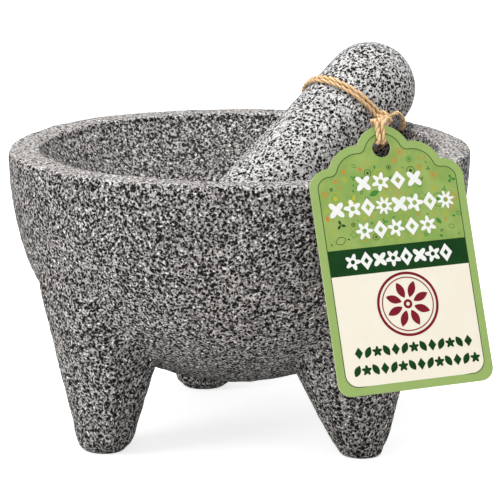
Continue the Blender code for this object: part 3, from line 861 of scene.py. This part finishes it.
class Flat:
    """Thin closed slabs in the card's plane, each from an outline with holes, gathered in one mesh."""

    def __init__(self):
        self.bm = bmesh.new()

    def slab(self, outer, holes=(), low=0.0, high=0.05 * MM, slot=0, grid=0.0):
        bm = bmesh.new()
        edges = []
        for loop in (outer, *holes):
            vs = [bm.verts.new((x, y, 0)) for x, y in loop]
            edges += [bm.edges.new((vs[k], vs[(k + 1) % len(vs)])) for k in range(len(vs))]
        bmesh.ops.triangle_fill(bm, use_beauty=True, use_dissolve=False, edges=edges)
        if grid:
            xs = [v.co.x for v in bm.verts]
            ys = [v.co.y for v in bm.verts]
            for k in range(1, int((max(xs) - min(xs)) / grid) + 1):
                bmesh.ops.bisect_plane(bm, geom=bm.verts[:] + bm.edges[:] + bm.faces[:], dist=1e-7,
                                       plane_co=(min(xs) + k * grid, 0, 0), plane_no=(1, 0, 0))
            for k in range(1, int((max(ys) - min(ys)) / grid) + 1):
                bmesh.ops.bisect_plane(bm, geom=bm.verts[:] + bm.edges[:] + bm.faces[:], dist=1e-7,
                                       plane_co=(0, min(ys) + k * grid, 0), plane_no=(0, 1, 0))
        faces = bm.faces[:]
        grown = bmesh.ops.extrude_face_region(bm, geom=faces)
        top = [g for g in grown["geom"] if isinstance(g, bmesh.types.BMVert)]
        lift = set(top)
        for v in bm.verts:
            b = bow(v.co.x, v.co.y)
            v.co.z = b + (high if v in lift else low)
        bmesh.ops.recalc_face_normals(bm, faces=bm.faces)
        for f in bm.faces:
            f.material_index = slot
        tmp = bpy.data.meshes.new("tmp")
        bm.to_mesh(tmp)
        bm.free()
        self.bm.from_mesh(tmp)
        bpy.data.meshes.remove(tmp)

    def object(self, name, *materials):
        mesh = bpy.data.meshes.new(name)
        self.bm.to_mesh(mesh)
        self.bm.free()
        mesh.transform(CARD)
        return new_object(name, mesh, *materials)


def ring_points(cx, cy, r, n=28, a0=0.0):
    return [(cx + r * cos(a0 + 2 * pi * k / n), cy + r * sin(a0 + 2 * pi * k / n)) for k in range(n)]


def clip_below(loop, y0):
    """The part of an outline with y under y0."""
    out = []
    n = len(loop)
    for i in range(n):
        a, b = loop[i], loop[(i + 1) % n]
        if a[1] <= y0:
            out.append(a)
        if (a[1] <= y0) != (b[1] <= y0):
            t = (y0 - a[1]) / (b[1] - a[1])
            out.append((a[0] + (b[0] - a[0]) * t, y0))
    return out


def clip_above(loop, y0):
    out = [(x, -y) for x, y in clip_below([(x, -y) for x, y in loop], -y0)]
    return out


def round_foot(loop, radius):
    """The same loop with its two lower corners drawn to a larger radius."""
    low = min(y for x, y in loop)
    start = next(i for i in range(len(loop)) if loop[i][1] > low + radius >= loop[i - 1][1])
    loop = loop[start:] + loop[:start]
    keep = [q for q in loop if q[1] > low + radius]
    ends = (keep[-1][0], keep[0][0])
    arcs = []
    for side, first in ((ends[0], True), (ends[1], False)):
        way = 1 if side > 0 else -1
        arc = [(side - way * radius * (1 - cos(pi / 2 * k / 9)), low + radius * (1 - sin(pi / 2 * k / 9))) for k in range(10)]
        arcs += arc if first else arc[::-1]
    return keep + arcs


PAPER = 0.72


def card_shader(name, colour, mottle=0.0, other=(0, 0, 0), rough=0.6):
    s = Shader(name)
    colour = tuple(c * PAPER for c in colour)
    other = tuple(c * PAPER for c in other)
    fibre = s.noise(1500, 3.0, 0.65)
    cloud = s.noise(110, 3.0, 0.55, shift=(0.4, 0.2, 0.1))
    c = s.mix(s.math("MULTIPLY", s.ramp(cloud, 0.3, 0.72), mottle), colour, other)
    c = s.mix(s.math("MULTIPLY", s.ramp(fibre, 0.3, 0.75), 0.07), c, tuple(min(1.0, k * 1.35 + 0.03) for k in colour))
    return s.finish(c, s.ramp(fibre, 0.3, 0.7, rough + 0.06, rough - 0.05), s.bump(fibre, 0.02 * MM, 0.6),
                    Specular_IOR_Level=0.05)


green_card = card_shader("tag_green", srgb(159, 186, 109), 0.4, srgb(167, 193, 119))
edge_card = card_shader("tag_edge", srgb(196, 214, 150), 0.5, srgb(226, 224, 186), 0.8)
back_card = card_shader("tag_back", srgb(228, 222, 200), 0.5, srgb(214, 206, 180), 0.8)
ink_panel = card_shader("ink_panel", srgb(140, 174, 90), 0.9, srgb(165, 187, 105))
ink_dark = card_shader("ink_dark_green", srgb(22, 64, 26), 0.5, srgb(26, 72, 32), 0.55)
ink_cream = card_shader("ink_cream", srgb(255, 246, 226), 0.5, srgb(255, 250, 234), 0.5)
ink_white = card_shader("ink_white", srgb(252, 252, 248), 0.2, srgb(246, 247, 240), 0.5)
ink_red = card_shader("ink_red", srgb(126, 26, 44), 0.5, srgb(146, 38, 56), 0.5)
ink_orange = card_shader("ink_orange", srgb(214, 146, 62), 0.6, srgb(196, 122, 60), 0.5)
ink_yellow = card_shader("ink_yellow", srgb(196, 190, 66), 0.6, srgb(172, 176, 58), 0.5)
ink_leaf = card_shader("ink_leaf", srgb(58, 134, 58), 0.6, srgb(84, 150, 64), 0.5)
ink_line = card_shader("ink_line", srgb(52, 84, 34), 0.3, srgb(44, 72, 30), 0.5)

F0 = TAG_THICK / 2


def make_card():
    f = Flat()
    f.slab(OUTLINE, [ring_points(0, 0, TAG_HOLE_R, 48)], low=-F0, high=F0, grid=4.0 * MM)
    o = f.object("tag_card", green_card, edge_card, back_card)
    n = NORMAL
    for p in o.data.polygons:
        d = Vector(p.normal).dot(n)
        p.material_index = 0 if d > 0.6 else 2 if d < -0.6 else 1
    bev = o.modifiers.new("cut", "BEVEL")
    bev.width = 0.08 * MM
    bev.segments = 2
    bev.limit_method = "ANGLE"
    bev.angle_limit = radians(50)
    bev.material = 1
    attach(o, "tag")
    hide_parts("hang_tag")
    return o


def leaf(cx, cy, length, width, turn, n=14):
    pts = []
    for k in range(n):
        t = k / n
        x = length * (t - 0.5)
        y = width * 0.5 * sin(pi * t) ** 0.8
        pts.append((x, y))
    for k in range(n):
        t = 1 - k / n
        pts.append((length * (t - 0.5), -width * 0.5 * sin(pi * t) ** 0.8))
    c, s = cos(turn), sin(turn)
    clean = []
    for x, y in pts:
        q = (cx + x * c - y * s, cy + x * s + y * c)
        if not clean or hypot(q[0] - clean[-1][0], q[1] - clean[-1][1]) > 1e-6:
            clean.append(q)
    if hypot(clean[0][0] - clean[-1][0], clean[0][1] - clean[-1][1]) < 1e-6:
        clean.pop()
    return clean


def flower(cx, cy, r, petals, depth=0.32, turn=0.0, n=60):
    return [(cx + r * (1 - depth + depth * cos(petals * a)) * cos(a + turn), cy + r * (1 - depth + depth * cos(petals * a)) * sin(a + turn))
            for a in (2 * pi * k / n for k in range(n))]


def diamond(cx, cy, w, h):
    return [(cx - w / 2, cy), (cx, cy + h / 2), (cx + w / 2, cy), (cx, cy - h / 2)]


def pill(cx, cy, w, h, n=8):
    r = h / 2
    pts = [(cx + w / 2 - r + r * cos(a), cy + r * sin(a)) for a in (pi / 2 - pi * k / n for k in range(n + 1))]
    pts += [(cx - w / 2 + r + r * cos(a), cy + r * sin(a)) for a in (-pi / 2 - pi * k / n for k in range(n + 1))]
    return pts


def grow(loop, by):
    """A closed outline made larger (or smaller) about its own middle by a distance."""
    cx = sum(p[0] for p in loop) / len(loop)
    cy = sum(p[1] for p in loop) / len(loop)
    out = []
    for x, y in loop:
        d = hypot(x - cx, y - cy)
        out.append((cx + (x - cx) * (d + by) / d, cy + (y - cy) * (d + by) / d))
    return out


def make_print():
    f = Flat()
    DARK, CREAM, WHITE, RED, ORANGE, YELLOW, LEAF, LINE, PANEL = range(9)
    a0, a1, a2 = F0 - 0.03 * MM, F0 + 0.03 * MM, F0 + 0.06 * MM
    line_out = round_foot(inset(OUTLINE, 3.3 * MM), 5.7 * MM)
    line_in = round_foot(inset(OUTLINE, 3.62 * MM), 5.4 * MM)
    field_edge = round_foot(inset(OUTLINE, 3.5 * MM), 5.5 * MM)
    y1, y2 = -40.4 * MM, -51.2 * MM
    f.slab(clip_above(field_edge, y1), [ring_points(0, 0, TAG_HOLE_R + 0.2 * MM, 40)], a0, a1, PANEL, grid=5 * MM)
    band = clip_above(clip_below(field_edge, y1), y2)
    f.slab(band, [], a0, a1, DARK, grid=5 * MM)
    f.slab(clip_below(field_edge, y2), [], a0, a1, CREAM, grid=5 * MM)
    f.slab(line_out, [line_in], a1 - 0.02 * MM, a2, LINE)
    # ornaments in white: three rows on the green field and one on the band
    w0, w1 = a1 - 0.015 * MM, F0 + 0.085 * MM

    def bloom(cx, cy, r, petals=5, turn=0.3):
        f.slab(flower(cx, cy, r, petals, 0.26, turn), [ring_points(cx, cy, r * 0.26, 16)], w0, w1, WHITE)

    def gem(cx, cy, w, h):
        f.slab(diamond(cx, cy, w, h), [list(reversed(diamond(cx, cy, w * 0.36, h * 0.36)))], w0, w1, WHITE)

    def blade(cx, cy, l, w, turn):
        f.slab(leaf(cx, cy, l, w, turn), [], w0, w1, WHITE)

    def pair(cx, cy, h):
        f.slab(flower(cx, cy, h * 0.52, 4, 0.30, pi / 4), [], w0, w1, WHITE)

    r1, r2, r3, rb = -14.0 * MM, -24.0 * MM, -33.6 * MM, -45.8 * MM
    pair(-10.2 * MM, r1, 7.6 * MM)
    bloom(-2.6 * MM, r1, 4.0 * MM, 6)
    gem(5.0 * MM, r1, 6.6 * MM, 7.8 * MM)
    pair(12.2 * MM, r1, 7.6 * MM)
    xs = [-23.2, -16.2, -9.6, -2.6, 4.2, 10.8, 17.6, 24.6]
    for i, cx in enumerate(xs):
        if i % 4 == 0:
            pair(cx * MM, r2, 7.8 * MM)
        elif i % 4 == 1:
            bloom(cx * MM, r2, 3.9 * MM, 5, 0.5 * i)
        elif i % 4 == 2:
            gem(cx * MM, r2, 6.2 * MM, 7.8 * MM)
        else:
            bloom(cx * MM, r2, 3.9 * MM, 8, 0.2)
    for i, cx in enumerate([-12.6, -5.6, 1.2, 8.2, 15.2]):
        (gem(cx * MM, r3, 6.2 * MM, 7.6 * MM) if i % 2 else bloom(cx * MM, r3, 3.8 * MM, 6, 0.4 * i))
    for i, cx in enumerate([-19.5, -13.6, -7.8, -2.0, 3.8, 9.6, 15.4, 21.2]):
        if i % 3 == 0:
            bloom(cx * MM, rb, 3.5 * MM, 5, 0.3 * i)
        elif i % 3 == 1:
            gem(cx * MM, rb, 5.6 * MM, 7.6 * MM)
        else:
            pair(cx * MM, rb, 6.8 * MM)
    # the seal: two rings round an eight-petal rosette
    cx, cy = 1.4 * MM, -65.2 * MM
    e0, e1 = a1 - 0.015 * MM, F0 + 0.07 * MM
    f.slab(ring_points(cx, cy, 13.3 * MM, 72), [ring_points(cx, cy, 12.2 * MM, 72)], e0, e1, RED)
    f.slab(ring_points(cx, cy, 11.2 * MM, 64), [ring_points(cx, cy, 10.75 * MM, 64)], e0, e1, RED)
    for k in range(8):
        a = 2 * pi * k / 8 + pi / 8
        f.slab(leaf(cx + 6.3 * MM * cos(a), cy + 6.3 * MM * sin(a), 7.0 * MM, 3.2 * MM, a), [], e0, e1, RED)
    f.slab(ring_points(cx, cy, 1.9 * MM, 24), [ring_points(cx, cy, 0.8 * MM, 16)], e0, e1, RED)
    # two rows of dark ornament under it
    for row, (cy, lo, hi) in enumerate(((-83.0 * MM, -22.6, 25.0), (-90.2 * MM, -24.2, 27.0))):
        count = 13 if row == 0 else 14
        for k in range(count):
            x = (lo + (hi - lo) * k / (count - 1)) * MM
            kind = (k + row) % 4
            if kind == 0:
                f.slab(diamond(x, cy, 3.5 * MM, 4.9 * MM), [], e0, e1, DARK)
            elif kind == 1:
                f.slab(leaf(x, cy, 5.0 * MM, 2.7 * MM, radians(62)), [], e0, e1, DARK)
            elif kind == 2:
                f.slab(flower(x, cy, 2.25 * MM, 5, 0.24, 0.3, 30), [], e0, e1, DARK)
            else:
                f.slab(leaf(x, cy, 5.0 * MM, 2.7 * MM, radians(118)), [], e0, e1, DARK)
    # small drawings scattered over the green field
    d0, d1 = a1 - 0.015 * MM, F0 + 0.05 * MM
    rng = np.random.default_rng(5)
    placed = []
    edge = np.array(field_edge)

    def within(px, py):
        ax, ay = edge[:, 0], edge[:, 1]
        bx, by = np.roll(ax, -1), np.roll(ay, -1)
        crosses = (ay > py) != (by > py)
        where = ax + (py - ay) / np.where(by == ay, 1e-12, by - ay) * (bx - ax)
        return int((crosses & (px < where)).sum()) % 2 == 1

    tries = 0
    while len(placed) < 120 and tries < 12000:
        tries += 1
        x, y = rng.uniform(-30, 31) * MM, rng.uniform(-39, 2.5) * MM
        r = rng.uniform(0.8, 3.0) * MM * (1.0 if len(placed) < 60 else 0.55)
        if not within(x, y) or np.hypot(edge[:, 0] - x, edge[:, 1] - y).min() < r + 0.6 * MM or hypot(x, y) < TAG_HOLE_R + 1.2 * MM + r:
            continue
        if not (y < -4 * MM - 0.42 * max(abs(x) - 8 * MM, 0) or (abs(x) < 12 * MM and y < 1 * MM) or (abs(x) < 22 * MM and y < -5 * MM)):
            continue
        if y - r < y1 + 0.5 * MM:
            continue
        if any(hypot(x - a, y - b) < r + c + 0.35 * MM for a, b, c in placed):
            continue
        placed.append((x, y, r))
        tint = (ORANGE, YELLOW, LEAF, ORANGE, LEAF, YELLOW, LINE)[int(rng.integers(0, 7))]
        kind = int(rng.integers(0, 5))
        a = rng.uniform(0, 2 * pi)
        w = 0.26 * MM
        if kind == 0:
            f.slab(leaf(x, y, 2 * r, r, a), [], d0, d1, tint)
        elif kind == 1:
            f.slab(ring_points(x, y, r, 26), [ring_points(x, y, r - w, 26)], d0, d1, tint)
            f.slab(ring_points(x, y, r * 0.38, 14), [], d0, d1, tint)
        elif kind == 2:
            lf = leaf(x, y, 2 * r, 1.35 * r, a)
            f.slab(lf, [grow(lf, -w)], d0, d1, tint)
        elif kind == 3:
            fl = flower(x, y, r, 5, 0.25, a, 40)
            f.slab(fl, [grow(fl, -w)], d0, d1, tint)
        else:
            for g in range(3):
                b = a + 2 * pi * g / 3
                f.slab(leaf(x + 0.5 * r * cos(b), y + 0.5 * r * sin(b), 0.95 * r, 0.5 * r, b), [], d0, d1, tint)
    o = f.object("tag_print", ink_dark, ink_cream, ink_white, ink_red, ink_orange, ink_yellow, ink_leaf, ink_line, ink_panel)
    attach(o, "tag")
    return o


card = make_card()
printed = make_print()

mortar = carve_mortar()
pestle = carve_pestle()

# ---------------------------------------------------------------- stage and light
sweep_profile = [(-3.0, -0.0002), (1.2, -0.0002)]
for k in range(1, 13):
    a = pi / 2 * k / 12
    sweep_profile.append((1.2 + 1.0 * sin(a), 1.0 - 1.0 * cos(a) - 0.0002))
sweep_profile.append((2.2, 4.0))
sweep = bpy.data.meshes.new("backdrop")
sv = [(x, y, z) for y, z in sweep_profile for x in (-4.0, 4.0)]
sf = [(2 * k, 2 * k + 1, 2 * k + 3, 2 * k + 2) for k in range(len(sweep_profile) - 1)]
sweep.from_pydata(sv, [], sf)
sweep.shade_smooth()
fs = Shader("backdrop")
fs.finish((0.72, 0.72, 0.72), 0.95, Specular_IOR_Level=0.0)
fs.bsdf.inputs["Emission Color"].default_value = (1, 1, 1, 1)
seen = fs.node("ShaderNodeLightPath").outputs["Is Camera Ray"]
fs.put(fs.bsdf.inputs["Emission Strength"], fs.math("MULTIPLY_ADD", seen, 0.7, 0.0))
backdrop = new_object("backdrop", sweep, fs.m)

world = bpy.data.worlds.new("studio")
world.use_nodes = True
world.node_tree.nodes["Background"].inputs["Color"].default_value = (1, 1, 1, 1)
world.node_tree.nodes["Background"].inputs["Strength"].default_value = 0.60
scene.world = world


def area(name, at, aim, size, power, shape="DISK"):
    data = bpy.data.lights.new(name, "AREA")
    data.shape = shape
    data.size = size
    data.energy = power
    o = bpy.data.objects.new(name, data)
    scene.collection.objects.link(o)
    o.location = at
    o.rotation_euler = (Vector(aim) - Vector(at)).to_track_quat("-Z", "Y").to_euler()
    return o


area("top", (-0.05, -0.10, 1.25), (0, 0.02, 0.05), 0.7, 12.6)
area("left", (-1.15, -0.65, 0.55), (0, 0, 0.06), 0.6, 9.0)
area("right", (1.2, -0.5, 0.7), (0, 0, 0.08), 0.8, 2.0)
area("front", (0.15, -1.6, 0.75), (0, 0, 0.07), 0.9, 3.5)
